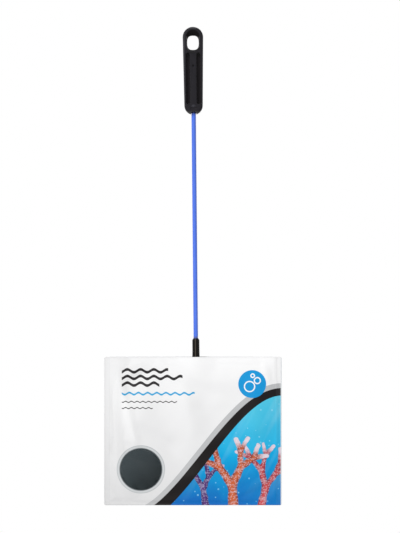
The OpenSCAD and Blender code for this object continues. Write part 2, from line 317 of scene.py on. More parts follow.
def front_depth(x, z):
    """The front film: over the hoop, up to a soft crest below the mouth, and over the ferrule."""
    u, v = x + POUCH_W / 2, -z
    # The belly starts just inside the seams and is full about 20 mm further in
    inside = ease((INNER_HALF - abs(x) - 2) / 20) * ease((INNER_H - v - 3) / 22)
    crest = CREST_DROP + CREST_SLANT * ease((u - 40) / 66)
    high = CREST_H + CREST_SWELL * ease((u - 36) / 60)
    from_ferrule = x - POUCH_SHIFT
    lips = LIPS_IN * (ramp(v / crest) - 1) * (1 - hump(from_ferrule, 18))
    # Past the crest the film dips a little, and then it rises again over the folded bag
    belly = high * ramp(v / crest) - 0.6 * ease((v - crest) / 12) + 0.8 * ease((v - crest - 10) / 34)
    ferrule = OVER_FERRULE * hump(from_ferrule, 11) * ease(1 - v / 30)
    return over_hoop(x, z) + (belly + lips) * inside + ferrule


def back_depth(x, z):
    """The back film: one wide arc between two round sides, which curves in to the bottom seam."""
    if abs(x) < MEETS_X:
        across = BACK_D - WIDE_R + math.sqrt(WIDE_R ** 2 - x ** 2)
    else:
        across = math.sqrt(max(0.0, SIDE_R ** 2 - (abs(x) - SIDE_X) ** 2))
    past = max(0.0, END_H - INNER_H - z)
    end = max(0.0, BACK_D - BACK_END_R + math.sqrt(max(0.0, BACK_END_R ** 2 - past ** 2)))
    return min(across, end) - SEAM_Y * hump(from_seam(x, z), 0.9)


# Soft creases: both ends, right and down from the pouch's top left corner, half width and height
FRONT_CREASES = [
    ((15, 26), (27, 72), 4.8, 1.70),
    ((28, 26), (40, 74), 12.0, 1.10),
    ((7, 30), (14, 70), 4.5, -0.60),
    ((74, 38), (80, 68), 11.0, 2.10),
    ((33, 2), (22, 34), 12.0, -2.10),
    ((2, 81), (27, 92), 6.0, -1.40),
    ((3, 73), (22, 80), 2.0, -0.60),
    ((30, 70), (58, 78), 8.0, -1.30),
    ((70, 28), (134, 40), 6.0, -0.60),
    ((51, 0), (57, 3.5), 1.5, -0.60),
    ((12, 97), (30, 131), 5.0, 0.70),
    ((4, 112), (22, 134), 3.4, -0.65),
    ((36, 66), (62, 86), 6.0, -0.55),
    ((96, 78), (150, 60), 7.0, 0.60),
    ((84, 116), (140, 96), 5.0, -0.60),
    ((118, 128), (154, 104), 4.0, 0.60),
    ((146, 10), (154, 40), 3.5, 0.45),
]
BACK_CREASES = [
    ((20, 12), (64, 60), 7.0, 1.0),
    ((60, 70), (120, 112), 8.0, -1.0),
    ((96, 10), (140, 52), 6.0, -0.8),
    ((14, 90), (60, 124), 5.0, 0.9),
    ((76, 20), (84, 116), 5.0, 0.9),
    ((116, 60), (150, 100), 4.5, 0.8),
    ((8, 50), (30, 84), 4.0, -0.8),
    ((30, 8), (58, 40), 2.6, 0.8),
    ((100, 14), (122, 60), 2.8, -0.8),
    ((20, 66), (52, 100), 2.8, 0.8),
    ((92, 84), (138, 112), 3.0, 0.9),
    ((62, 92), (76, 126), 2.4, -0.7),
    ((136, 30), (150, 74), 2.4, 0.7),
    ((8, 18), (24, 52), 2.4, 0.6),
]


def ridge(u, v, crease):
    """Height of one soft crease, which fades out past its ends."""
    (ua, va), (ub, vb), wide, high = crease
    run_u, run_v = ub - ua, vb - va
    length = math.hypot(run_u, run_v)
    along = ((u - ua) * run_u + (v - va) * run_v) / length
    aside = ((u - ua) * run_v - (v - va) * run_u) / length
    past = max(0.0, -along, along - length)
    return high * hump(aside, wide) * hump(past, 1.6 * wide)


def slack(x, z, creases, seed):
    """How far the film stands proud of its plain form, which fades out to the seams."""
    u, v = x + POUCH_W / 2, -z
    height = sum(ridge(u, v, crease) for crease in creases)
    height += 0.45 * noise.noise(Vector((u / 34, v / 30, seed)))
    height += 0.24 * noise.noise(Vector((u / 13 + v / 40, v / 17, seed + 5)))
    return height * unit((INNER_HALF - abs(x)) / 7) * unit((INNER_H + z) / 9)


# Ribs that the sealing bar leaves: distance in from the pouch's edge, half width and height
SIDE_RIBS = [(1.1, 0.34, 0.06), (4.6, 0.42, 0.05)]
FOOT_RIBS = [(1.2, 0.4, 0.10), (4.5, 0.5, 0.12)]


def ribs(x, z):
    """Height of the ribs along the two side seams and the bottom seam."""
    height = 0.0
    for edge, lines in ((POUCH_W / 2 - abs(x), SIDE_RIBS), (POUCH_H + z, FOOT_RIBS)):
        for at, wide, high in lines:
            height += high * hump(edge - at, wide)
    return height


def mouth_wave(x, z, seed):
    """How far the mouth's cut edge waves in and out."""
    return 0.05 * math.sin(x / 3.1 + seed) * max(0.0, 1 + z / 12)


def round_corner(x, z):
    """Draws the square corners of a film in to round ones."""
    half, top, foot = POUCH_W / 2 - FILM_CORNER_R, -FILM_CORNER_R, FILM_CORNER_R - POUCH_H
    if abs(x) <= half or foot <= z <= top:
        return x, z
    centre = Vector((math.copysign(half, x), min(max(z, foot), top)))
    out = Vector((x, z)) - centre
    return centre + out * (max(abs(out.x), abs(out.y)) / out.length)


def stations(marks):
    """Places along a line, from pairs of an end and the number of steps up to it."""
    places = [marks[0][0]]
    for end, steps in marks[1:]:
        start = places[-1]
        places += [start + (end - start) * (i + 1) / steps for i in range(steps)]
    return places


# Where the film's grid changes its step: finest over the seams, and next to them
SEAM_LIP, NEAR_SEAM, SLOPE_END = 0.2, 4, 14
FILM_ACROSS = stations([
    (-POUCH_W / 2, 0), (-INNER_HALF - SEAM_LIP, 16), (-INNER_HALF + NEAR_SEAM, 16),
    (-INNER_HALF + SLOPE_END, 12), (INNER_HALF - SLOPE_END, 88), (INNER_HALF - NEAR_SEAM, 12),
    (INNER_HALF + SEAM_LIP, 16), (POUCH_W / 2, 16)])
FILM_DOWN = stations([(0, 0), (-24, 24), (-112, 66), (-INNER_H, 28), (-POUCH_H, 14)])


def film(name, depth, least, creases, seed, side, finish):
    """One film of the pouch. least is how far out it has to stay, side is -1 in front and 1 behind."""
    bm = bmesh.new()
    nx, nz = len(FILM_ACROSS) - 1, len(FILM_DOWN) - 1
    bmesh.ops.create_grid(bm, x_segments=nx, y_segments=nz, size=0.5)
    for vert in bm.verts:
        x = FILM_ACROSS[round((vert.co.x + 0.5) * nx)]
        z = FILM_DOWN[round((0.5 - vert.co.y) * nz)]
        y = max(depth(x, z) + slack(x, z, creases, seed), least(x, z)) + ribs(x, z)
        y = side * (y + FILM_T + mouth_wave(x, z, seed))
        x, z = round_corner(x, z)
        vert.co = to_net(x, y, z)
    if side > 0:
        bmesh.ops.reverse_faces(bm, faces=bm.faces)
    piece = mesh_piece(name, bm, finish, "pouch")
    wall = piece.modifiers.new("film", "SOLIDIFY")
    wall.thickness = FILM_T * MM
    wall.offset = -1.0
    return piece


# The print. Its places are right and down from the pouch's top left corner, in millimetres

WINDOW_AT, WINDOW_R = (33.3, 101.7), 19.0
ROUNDEL_AT, ROUNDEL_R = (134.0, 24.5), 12.6
# Its bubbles: right and down from its middle, and radius
BUBBLES = ((-2.4, 2.2, 4.6), (4.6, -3.2, 2.7), (0.4, -7.6, 1.6))
# The water's edge: where it starts to rise, how far it runs, its lowest place and its rise
WAVE_FROM, WAVE_RUN, WAVE_LOW, WAVE_RISE = 27.0, 134.0, 152.0, 117.0
INK = srgb(40, 38, 39)
# Wavy lines: place down, both ends, swing, period, thickness and colour
RIPPLES = (
    (12.6, 16, 58, 1.3, 12.0, 2.6, INK),
    (18.6, 16, 71, 1.3, 12.0, 2.6, INK),
    (24.6, 16, 50, 1.3, 12.0, 2.6, INK),
    (33.2, 16, 82, 0.9, 8.3, 1.7, srgb(62, 168, 218)),
    (40.6, 16, 66, 0.5, 5.2, 0.9, srgb(70, 68, 70)),
    (46.2, 16, 44, 0.5, 5.2, 0.9, srgb(70, 68, 70)),
)
# Corals: seed, root, lean, length and radius of the trunk, forks and their angle, then three shades
CORALS = (
    ((11, (92, 136), -7, 17, 3.3, 3, 30), srgb(96, 58, 124), srgb(52, 34, 88), srgb(206, 200, 232)),
    ((5, (142, 137), 12, 19, 3.8, 3, 27), srgb(211, 84, 84), srgb(128, 52, 72), srgb(238, 226, 240)),
    ((23, (117, 138), -3, 22, 4.9, 3, 29), srgb(208, 103, 62), srgb(120, 52, 50), srgb(240, 232, 244)),
)
# What the film greys to along its edges and seams
FILM_GREY = srgb(120, 120, 122)


def on_pouch(f):
    """Place across from the pouch's middle and down from its mouth."""
    x, _, z = f.split(f.place(at=(-POUCH_SHIFT, 0, MOUTH_Z), turn=(0, POUCH_TURN, 0)))
    return x, -z


def branches(seed, root, lean, length, radius, forks, angle):
    """Tapered branches of one coral: both ends, both radii, and whether it is a tip."""
    pick = random.Random(seed)
    found = []

    def grow(at, way, run, r, left):
        end = (at[0] + run * math.sin(way), at[1] - run * math.cos(way))
        found.append((at, end, r, r * 0.78, left == 0))
        if left > 0:
            for hand in (-1, 1):
                turn = math.radians(hand * angle * pick.uniform(0.55, 1.15))
                grow(end, way + turn, run * pick.uniform(0.72, 0.92), r * 0.8, left - 1)

    grow(root, math.radians(lean), length, radius, forks)
    return found


def branch_group():
    """A node group that measures how far a point is from a tapered branch."""
    tree = bpy.data.node_groups.new("branch", "ShaderNodeTree")
    sockets = [("Point", "Vector"), ("Start", "Vector"), ("Run", "Vector"),
               ("Share", "Float"), ("Radius", "Float"), ("Taper", "Float")]
    for name, kind in sockets:
        tree.interface.new_socket(name, in_out="INPUT", socket_type="NodeSocket" + kind)
    for name in ("Distance", "Along"):
        tree.interface.new_socket(name, in_out="OUTPUT", socket_type="NodeSocketFloat")
    given, result = tree.nodes.new("NodeGroupInput"), tree.nodes.new("NodeGroupOutput")
    point, start, run, share, radius, taper = [Value(tree, given.outputs[name]) for name, _ in sockets]

    def vector(operation, out, *terms, scale=None):
        node = tree.nodes.new("ShaderNodeVectorMath")
        node.operation = operation
        for slot, term in zip(node.inputs, terms):
            put(tree, slot, term)
        if scale is not None:
            put(tree, node.inputs["Scale"], scale)
        return Value(tree, node.outputs[out])

    away = vector("SUBTRACT", "Vector", point, start)
    along = vector("DOT_PRODUCT", "Value", away, run).math("MULTIPLY", share, clamp=True)
    nearest = vector("SCALE", "Vector", run, scale=along)
    aside = vector("SUBTRACT", "Vector", away, nearest)
    distance = vector("LENGTH", "Value", aside) - (radius + along * taper)
    put(tree, result.inputs["Distance"], distance)
    put(tree, result.inputs["Along"], along)
    return tree


def coral(f, point, measure, parts):
    """Distance to the nearest branch of a coral, and how near its tips a point is."""
    near, tips = None, None
    for start, end, r_from, r_to, is_tip in parts:
        node = f.node("Group", node_tree=measure)
        run = (end[0] - start[0], end[1] - start[1], 0.0)
        put(f.tree, node.inputs["Point"], point)
        node.inputs["Start"].default_value = (*start, 0.0)
        node.inputs["Run"].default_value = run
        node.inputs["Share"].default_value = 1 / (run[0] ** 2 + run[1] ** 2)
        node.inputs["Radius"].default_value = r_from
        node.inputs["Taper"].default_value = r_to - r_from
        distance, along = Value(f.tree, node.outputs[0]), Value(f.tree, node.outputs[1])
        near = distance if near is None else near.math("SMOOTH_MIN", distance, 1.4)
        if is_tip:
            tip = distance.under(0.0, 0.4) * along.over(0.5, 0.5)
            tips = tip if tips is None else tips.max(tip)
    return near, tips


def white_ground_and_shade(f, u, v):
    """The print's white ground, with painted shade that greys it to the left and towards its foot."""
    left = f.mix(f.spread(v, 30, POUCH_H), grey(241), grey(221))
    right = f.mix(f.spread(v, 4, 44), grey(253), grey(242))
    right = f.mix(f.spread(v, 50, POUCH_H), right, grey(229))
    ground = f.mix(f.spread(u, 15, 95), left, right)
    # A painted highlight whitens the print along the long fold at the left
    off = (u - 13.5 - (v - 22) * 0.26).abs()
    fold = f.spread(off, 11, 1) * f.spread(v, 22, 40) * f.spread(v, 82, 66)
    return f.mix(fold * 0.4, ground, grey(254))


def below_edge(u, v):
    """Distance below the edge of the water, which swells up to the right."""
    # From 0 where the swell starts to 1 where it is at its highest
    t = ((u - WAVE_FROM) / WAVE_RUN).math("ADD", 0.0, clamp=True)
    edge = WAVE_LOW - t * t * (3 - 2 * t) * WAVE_RISE
    slope = t * (1 - t) * (6 * WAVE_RISE / WAVE_RUN)
    return (v - edge) / (slope * slope + 1).sqrt()


def sea(f, u, v, point):
    """Water that darkens on its way down, with beams of light and bubbles."""
    down = f.spread(v, 34, POUCH_H)
    swirl = f.noise(point, scale=0.022, detail=3, rough=0.55, twist=0.6) - 0.5
    water = f.mix(f.spread(down + swirl * 0.5, 0.05, 0.55), srgb(82, 201, 230), srgb(8, 178, 231))
    beam = f.join((u + v * 0.55) * 0.085, (v - u * 0.55) * 0.008)
    rays = f.spread(f.noise(beam, detail=1), 0.52, 0.72) * f.spread(down, 1.0, 0.1)
    specks = f.cells(point, scale=0.105)
    keep = f.split(f.cells(point, scale=0.105, out="Color"))[0]
    bubbles = specks.under(0.035 + 0.07 * keep * keep, 0.03) * keep.over(0.35, 0.1)
    return f.coats(
        water,
        (f.spread(down + swirl * 0.45, 0.45, 1.0), srgb(12, 108, 190)),
        (rays * 0.35, srgb(170, 228, 242)),
        (bubbles * 0.55, srgb(150, 222, 246)))


def reef(f, u, v, point, water):
    """Branching corals that rise out of the lower edge of the water."""
    measure = branch_group()
    wobble = f.noise(point, scale=0.16, detail=1) - 0.5
    bent = f.join(u + wobble * 2.4, v + wobble * 1.2)
    stripe = f.noise(f.join(u * 0.14, v * 0.30), detail=1)
    grain = f.noise(point, scale=1.3, detail=2)
    dots = f.cells(point, scale=0.5)
    for form, light, dark, pale in CORALS:
        near, tips = coral(f, bent, measure, branches(*form))
        body = f.coats(
            light,
            (f.spread(near, -2.6, 0.0), dark),
            (f.spread(stripe, 0.50, 0.66) * 0.30, pale),
            (dots.under(0.26, 0.2) * 0.38, pale),
            (f.spread(grain, 0.55, 0.7) * 0.35, dark),
            (tips * 0.8, pale))
        water = f.mix(near.under(0.0, 0.35), water, body)
    return water


def ripples(f, u, v, art):
    """Rows of wavy lines at the upper left."""
    for at, left, right, swing, period, thick, colour in RIPPLES:
        line = (v - at - (u * (2 * math.pi / period)).sin() * swing).abs()
        line = line.under(thick / 2) * u.over(left, 0.6) * u.under(right, 0.6)
        art = f.mix(line, art, colour)
    return art


def roundel(f, u, v, art):
    """A blue disc with three bubbles at the upper right."""
    u, v = u - ROUNDEL_AT[0], v - ROUNDEL_AT[1]
    art = f.mix(reach(u, v).under(ROUNDEL_R), art, srgb(24, 154, 220))
    for right, down, r in BUBBLES:
        rim = (reach(u - right, v - down) - r).abs()
        art = f.mix(rim.under(0.55), art, srgb(250, 252, 253))
    return art


def window(f, u, v, art):
    """The clear window in its printed ring, and how clear the film is."""
    out = reach(u - WINDOW_AT[0], v - WINDOW_AT[1])
    clear = out.under(WINDOW_R - 0.4)
    middle = WINDOW_AT[0] + WINDOW_AT[1] * 0.8
    # The film over the window is tinted dark, with painted shade that darkens it towards the lower right
    veil_and_shade = f.mix(f.spread(u + v * 0.8, middle - 26, middle + 26), srgb(79, 89, 93), srgb(42, 49, 51))
    # Painted shade of soft folds in the lower part of the window
    fold = f.noise(f.join((u - v * 0.45) * 0.17, (v + u * 0.45) * 0.05), detail=2)
    fold = f.spread(fold, 0.52, 0.66) * f.spread(v, WINDOW_AT[1] - 6, WINDOW_AT[1] + 16)
    art = f.coats(
        art,
        (out.under(WINDOW_R + 2.8, 0.6), srgb(206, 209, 210)),
        ((out - (WINDOW_R + 2.5)).abs().under(0.25), srgb(186, 190, 191)),
        (out.under(WINDOW_R + 0.4), srgb(92, 98, 100)),
        (clear, f.mix(fold * 0.5, veil_and_shade, srgb(26, 31, 33))))
    return art, clear


def film_edges(f, x, v):
    """How far the film greys: along its cut edges, over its welded seams, on the seams' pressed ribs, and
    with painted shade over the right seam.
    """
    edge = POUCH_W / 2 - x.abs()
    edge_grey_and_shade = f.spread(edge, 0.0, 5.2, 0.05, 0.0) + edge.under(1.3, 0.8) * 0.045
    # Painted shade greys the right seam more than the left one
    edge_grey_and_shade = edge_grey_and_shade + x.over(POUCH_W / 2 - 4.4, 1.0) * 0.04
    edge_grey_and_shade = edge_grey_and_shade + v.under(1.3, 0.8) * 0.05 + v.over(POUCH_H - 1.0, 0.8) * 0.05
    for at, wide, _ in SIDE_RIBS:
        edge_grey_and_shade = edge_grey_and_shade.max((edge - at).abs().under(wide, 0.3) * 0.06)
    return edge_grey_and_shade


def film_grain(f, x, v, point):
    """Crimped seams and the film's faint orange peel."""
    side = f.spread(x.abs(), INNER_HALF - 0.3, INNER_HALF + 0.3)
    foot = f.spread(v, INNER_H - 0.3, INNER_H + 0.3)
    crimp = ((v * (2 * math.pi / 1.4)).sin() * 0.5 + 0.5) * side.max(foot)
    fine = f.bump(f.noise(point, scale=0.45, detail=3), 0.05, 0.35)
    f.bump(crimp, 0.04, 0.5, fine)


def printed_film():
    """Soft film with its print: white ground, dark and grey bands, sea and reef, and a clear window."""
    f = Finish("printed_film", roughness=0.3, specular_ior_level=0.13)
    x, v = on_pouch(f)
    u = x + POUCH_W / 2
    point = f.join(u, v)
    depth = below_edge(u, v)
    # The bands over the water widen on their way down
    low = f.spread(v, 30, POUCH_H)
    art = f.coats(
        white_ground_and_shade(f, u, v),
        (depth.over(low * -4.0 - 11.2), srgb(193, 194, 195)),
        (depth.over(low * -3.4 - 6.8), srgb(24, 20, 20)),
        (depth.over(0.0), reef(f, u, v, point, sea(f, u, v, point))),
        (u.over(POUCH_W - 0.9, 0.5), srgb(240, 244, 246)))
    art = ripples(f, u, v, art)
    art = roundel(f, u, v, art)
    art, clear = window(f, u, v, art)
    f.set("Base Color", f.mix(film_edges(f, x, v), art, FILM_GREY))
    f.set("Alpha", 1.0 - clear * 0.46)
    film_grain(f, x, v, point)
    return f


def plain_film():
    """Soft white film with a faint haze."""
    f = Finish("plain_film", roughness=0.32, specular_ior_level=0.25)
    x, v = on_pouch(f)
    point = f.join(x, -v)
    haze = f.spread(f.noise(point, scale=0.03, detail=2), 0.35, 0.65)
    ground = f.mix(haze, srgb(238, 239, 242), srgb(245, 246, 247))
    f.set("Base Color", f.mix(film_edges(f, x, v), ground, FILM_GREY))
    film_grain(f, x, v, point)
    return f


# The handle. Its places are in millimetres from the middle of the hang slot, and its faces lie 4.5 out

# The grooves' inner and outer edge, top and foot
GROOVE_IN, GROOVE_OUT, GROOVE_TOP, GROOVE_FOOT = 2.7, 7.1, -9.0, -56.4
# The gate dimple, the bump on the nose, and the end of the nose: painted shade darkens the dimple, painted
# highlights lighten the bump and the end
DIMPLE_Z, BUMP_Z, NOSE_Z = -21.0, -57.4, -62.3
# Centre and radius of the hollows scooped out above and below the slot
UPPER_Z, UPPER_R = 5.0, 6.8
LOWER_Z, LOWER_R = -3.2, 6.6
# The slot's rim is an oval of 6.1 x 7.5 mm half width and height: one over their squares
RIM_X, RIM_Z = 0.027, 0.018
# Edges of the moulding that turn by more than this are eased
EASED_FROM, EASED_BY = math.radians(30), 0.22


def moulded_black():
    """Satin black moulding with a coarse dark grain, painted highlights on its rims, top and nose, and
    painted shade in its grooves, dimple, hollows and slot.
    """
    f = Finish("moulded_black", specular_ior_level=0.09, sheen_weight=0.12, sheen_roughness=0.4)
    place = f.place()
    x, y, z = f.split(place)
    shell = f.mix(f.noise(place, scale=0.12, detail=3), srgb(29, 28, 32), srgb(38, 36, 41))
    groove = x.abs().over(GROOVE_IN, 0.3) * x.abs().under(GROOVE_OUT, 0.3) * y.abs().under(4.25, 0.5)
    groove = groove * z.under(GROOVE_TOP, 0.4) * z.over(GROOVE_FOOT, 0.4)
    dimple = reach(x, z - DIMPLE_Z)
    # A painted highlight on the rims and the top, strongest on the left rim
    painted_highlight = (x.under(-7.5, 0.5) * 0.32 + x.over(7.7, 0.5) * 0.06).max(z.over(12.3, 0.5) * 0.4)
    bump = (x * x + (z - BUMP_Z) * (z - BUMP_Z) * 1.6).sqrt()
    upper = reach(x, z - UPPER_Z).under(UPPER_R, 1.4) * z.over(2.0, 3.0) * y.abs().under(4.3, 0.3)
    lower = reach(x, z - LOWER_Z).under(LOWER_R, 0.5) * z.under(-4.0, 2.0)
    wall = (x * x * RIM_X + z * z * RIM_Z).under(1.0, 0.1)
    shell = f.coats(
        shell,
        # Painted shade darkens the grooves, most of all at their top
        (groove * 0.8, srgb(13, 7, 11)),
        (groove * z.over(GROOVE_TOP - 3.4, 3.0) * 0.9, srgb(1, 1, 1)),
        # Painted shade darkens the gate dimple, and the same spot on the back face
        (dimple.under(0.95, 0.7) * 0.85, srgb(4, 3, 5)),
        # Painted highlights lighten the rims, the left one most, the top, the end of the nose and the bump
        # on it
        (painted_highlight, srgb(84, 84, 88)),
        (z.under(NOSE_Z, 1.6) * 0.42, srgb(92, 92, 88)),
        (bump.under(1.3, 1.8) * 0.45, srgb(82, 82, 90)),
        # Painted shade darkens the hollows above and below the slot and the slot's own wall
        (upper * 0.85, srgb(9, 5, 4)),
        (lower * 0.8, srgb(26, 25, 27)),
        (wall * 0.6, srgb(9, 7, 7)))
    f.set("Base Color", shell)
    dull = f.spread(f.noise(place, scale=0.5, detail=4), 0.3, 0.7, 0.40, 0.54)
    f.set("Roughness", dull.max(lower.max(wall) * 0.95))
    grain = f.bump(f.noise(place, scale=3.2, detail=3), 0.04, 0.5)
    # The mould's parting line runs round the middle of the thickness
    f.bump(y.abs().under(0.09, 0.08), 0.05, 0.6, grain)
    return f


def moulded_handle(finish):
    """The handle's own solid with all its edges eased, as a moulding has them."""
    bm = bmesh.new()
    bm.from_mesh(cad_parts["handle"].data)
    bmesh.ops.scale(bm, vec=(1 / MM, 1 / MM, 1 / MM), verts=bm.verts)
    bmesh.ops.remove_doubles(bm, verts=bm.verts, dist=1e-3)
    bmesh.ops.dissolve_limit(bm, angle_limit=math.radians(1.0), verts=bm.verts, edges=bm.edges)
    sharp = [edge for edge in bm.edges if edge.is_manifold and edge.calc_face_angle() > EASED_FROM]
    bmesh.ops.bevel(bm, geom=sharp, offset=EASED_BY, offset_type="OFFSET", segments=3, profile=0.5,
                    affect="EDGES", material=-1, clamp_overlap=True)
    return mesh_piece("moulded_handle", bm, finish, "net", smooth_angle=38)


# Stem, ferrule and wires

def blue_coat():
    """Bright blue extruded plastic, drawn along the stem."""
    f = Finish("blue_coat", specular_ior_level=0.4)
    place = f.place()
    drawn = f.place(stretch=14)
    _, _, z = f.split(place)
    streak = f.spread(f.noise(drawn, scale=0.6, detail=3), 0.3, 0.7)
    # The coat is greyer where it meets the ferrule, and a painted shadow darkens it where it enters the
    # handle's mouth
    f.set("Base Color", f.coats(
        f.mix(streak, srgb(74, 114, 228), srgb(84, 124, 236)),
        (z.under(-266.0, 0.8) * 0.6, srgb(76, 74, 110)),
        (z.over(-64.0, 1.0) * 0.95, srgb(0, 2, 50))))
    f.set("Roughness", f.spread(f.noise(place, scale=0.9, detail=3), 0.3, 0.7, 0.34, 0.46))
    f.bump(f.noise(drawn, scale=1.6, detail=3), 0.05, 0.4)
    return f


def ferrule_black():
    """Gloss black moulding, with a raised mould line down the front and the back that a painted highlight
    makes pale.
    """
    f = Finish("ferrule_black", specular_ior_level=0.09)
    place = f.place()
    drawn = f.place(stretch=9)
    x, _, _ = f.split(place)
    shell = f.mix(f.noise(place, scale=0.3), srgb(12, 10, 9), srgb(18, 15, 13))
    parting_and_highlight = (x + 0.45).abs().under(0.35, 0.45)
    # The pale colour along the raised mould line is a painted highlight
    f.set("Base Color", f.mix(parting_and_highlight * 0.8, shell, srgb(88, 81, 72)))
    f.set("Roughness", f.spread(f.noise(drawn, scale=1.1, detail=3), 0.3, 0.7, 0.2, 0.32))
    raised = f.bump(parting_and_highlight, 0.06, 0.6)
    f.bump(f.noise(drawn, scale=1.5, detail=2), 0.04, 0.35, raised)
    return f


def drawn_steel():
    """Bright wire with the fine streaks of its die."""
    f = Finish("drawn_steel", metallic=1.0)
    streak = f.noise(f.place(stretch=20), scale=3.0, detail=3)
    f.set("Base Color", f.mix(streak, srgb(176, 178, 182), srgb(206, 207, 210)))
    f.set("Roughness", f.spread(streak, 0.3, 0.7, 0.24, 0.42))
    f.bump(streak, 0.02, 0.4)
    return f


def weld_metal():
    """Rough weld metal, dark with scale."""
    f = Finish("weld_metal", metallic=1.0, roughness=0.55)
    scale = f.noise(f.place(), scale=2.4, detail=4)
    f.set("Base Color", f.mix(scale, srgb(96, 88, 82), srgb(158, 152, 148)))
    f.bump(scale, 0.08, 0.8)
    return f


# Cloth and thread

def mesh_cloth(name, thread, gap, pitch, see_through):
    """Fine net of six-sided holes on object coordinates. pitch is the hole's size in millimetres."""
    f = Finish(name, roughness=0.72, specular_ior_level=0.25, sheen_weight=0.15, sheen_roughness=0.5)
    x, y, z = f.split(f.place())
    flat = f.join(x + y * 0.6, z + y * 0.6)
    web = f.cells(flat, scale=1 / pitch, feature="DISTANCE_TO_EDGE")
    hole = f.spread(web, 0.12, 0.24)
    level = f.join(x, z)
    cloud = f.spread(f.noise(level, scale=0.06, detail=3), 0.35, 0.65)
    f.set("Base Color", f.coats(thread, (hole, gap), (cloud * 0.3, gap)))
    if see_through:
        f.set("Alpha", 1.0 - hole * see_through)
    weave = f.bump(1.0 - hole, 0.12, 0.6)
    f.bump(f.noise(level, scale=0.25, detail=3), 0.35, 0.5, weave)
    return f


def thread_black():
    """Twisted sewing thread."""
    f = Finish("thread_black", roughness=0.6, specular_ior_level=0.3)
    twist = f.noise(f.place(), scale=2.6, detail=2)
    f.set("Base Color", f.mix(twist, srgb(22, 26, 28), srgb(52, 58, 62)))
    f.bump(twist, 0.08, 0.8)
    return f


# The hoop's middle line, which the hem and its stitches follow

TOP_STRAIGHT = HOOP_X - CORNER_R
SIDE_STRAIGHT = HOOP_TOP - HOOP_END - 2 * CORNER_R
QUARTER = CORNER_R * math.pi / 2
HALF_HOOP = 2 * TOP_STRAIGHT + 2 * QUARTER + SIDE_STRAIGHT


def along_hoop(s):
    """Place on the hoop's right half, s millimetres from the middle of its top: x, z and the outward way."""
    if s < TOP_STRAIGHT:
        return s, HOOP_TOP, math.pi / 2
    s -= TOP_STRAIGHT
    if s < QUARTER:
        way = math.pi / 2 - s / CORNER_R
        return (TOP_STRAIGHT + CORNER_R * math.cos(way),
                HOOP_TOP - CORNER_R + CORNER_R * math.sin(way), way)
    s -= QUARTER
    if s < SIDE_STRAIGHT:
        return HOOP_X, HOOP_TOP - CORNER_R - s, 0.0
    s -= SIDE_STRAIGHT
    if s < QUARTER:
        way = -s / CORNER_R
        return (TOP_STRAIGHT + CORNER_R * math.cos(way),
                HOOP_END + CORNER_R + CORNER_R * math.sin(way), way)
    return TOP_STRAIGHT - (s - QUARTER), HOOP_END, -math.pi / 2


def off_hoop(x, z):
    """Distance outward from the hoop's middle line, and the place of the nearest point along it."""
    mid = (HOOP_TOP + HOOP_END) / 2
    half = (HOOP_TOP - HOOP_END) / 2
    px, pz = abs(x) - TOP_STRAIGHT, abs(z - mid) - (half - CORNER_R)
    if px > 0 and pz > 0:
        way = math.atan2(pz, px)
        out = math.hypot(px, pz) - CORNER_R
        s = TOP_STRAIGHT + (math.pi / 2 - way) * CORNER_R
    elif px > pz:
        out, s = px - CORNER_R, TOP_STRAIGHT + QUARTER + SIDE_STRAIGHT / 2 - abs(z - mid)
    else:
        out, s = pz - CORNER_R, min(abs(x), TOP_STRAIGHT)
    return out, HALF_HOOP - s if z < mid else s


# The hem: a sleeve of doubled mesh with a raised ridge along its inner back, sewn along its inner front

HEM_SIDES = 22
# Steps along its top, each bend, its side and its foot
TOP_STEPS, BEND_STEPS, SIDE_STEPS, FOOT_STEPS = 28, 22, 52, 33
# Radius of the sleeve's turned-in end, just off the coat
LIP_R = COAT_R + 0.02
RIDGE_WAY, RIDGE_WIDE, RIDGE_H, PINCH = math.radians(142), 0.42, 0.8, 0.35
STITCH_STEP, STITCH_R, STITCH_SLANT = 3.4, 0.15, 0.16
# The stitch's own arc round the hem: its radius, where it starts and how far it goes
STITCH_ARC_R, STITCH_FROM, STITCH_SWEEP = HEM_R + 0.62, math.radians(-104), math.radians(-76)


def hem_relief(way, s):
    """How far the sleeve stands off its plain tube: the ridge, pinched between stitches, and rucks."""
    pinch = 1 - PINCH * abs(math.cos(math.pi * s / STITCH_STEP))
    ruck = 0.10 * noise.noise(Vector((s / 2.3, way * 1.3, 2.0))) + 0.04 * math.sin(s * 2.9 + way)
    return RIDGE_H * hump(way - RIDGE_WAY, RIDGE_WIDE) * pinch + ruck


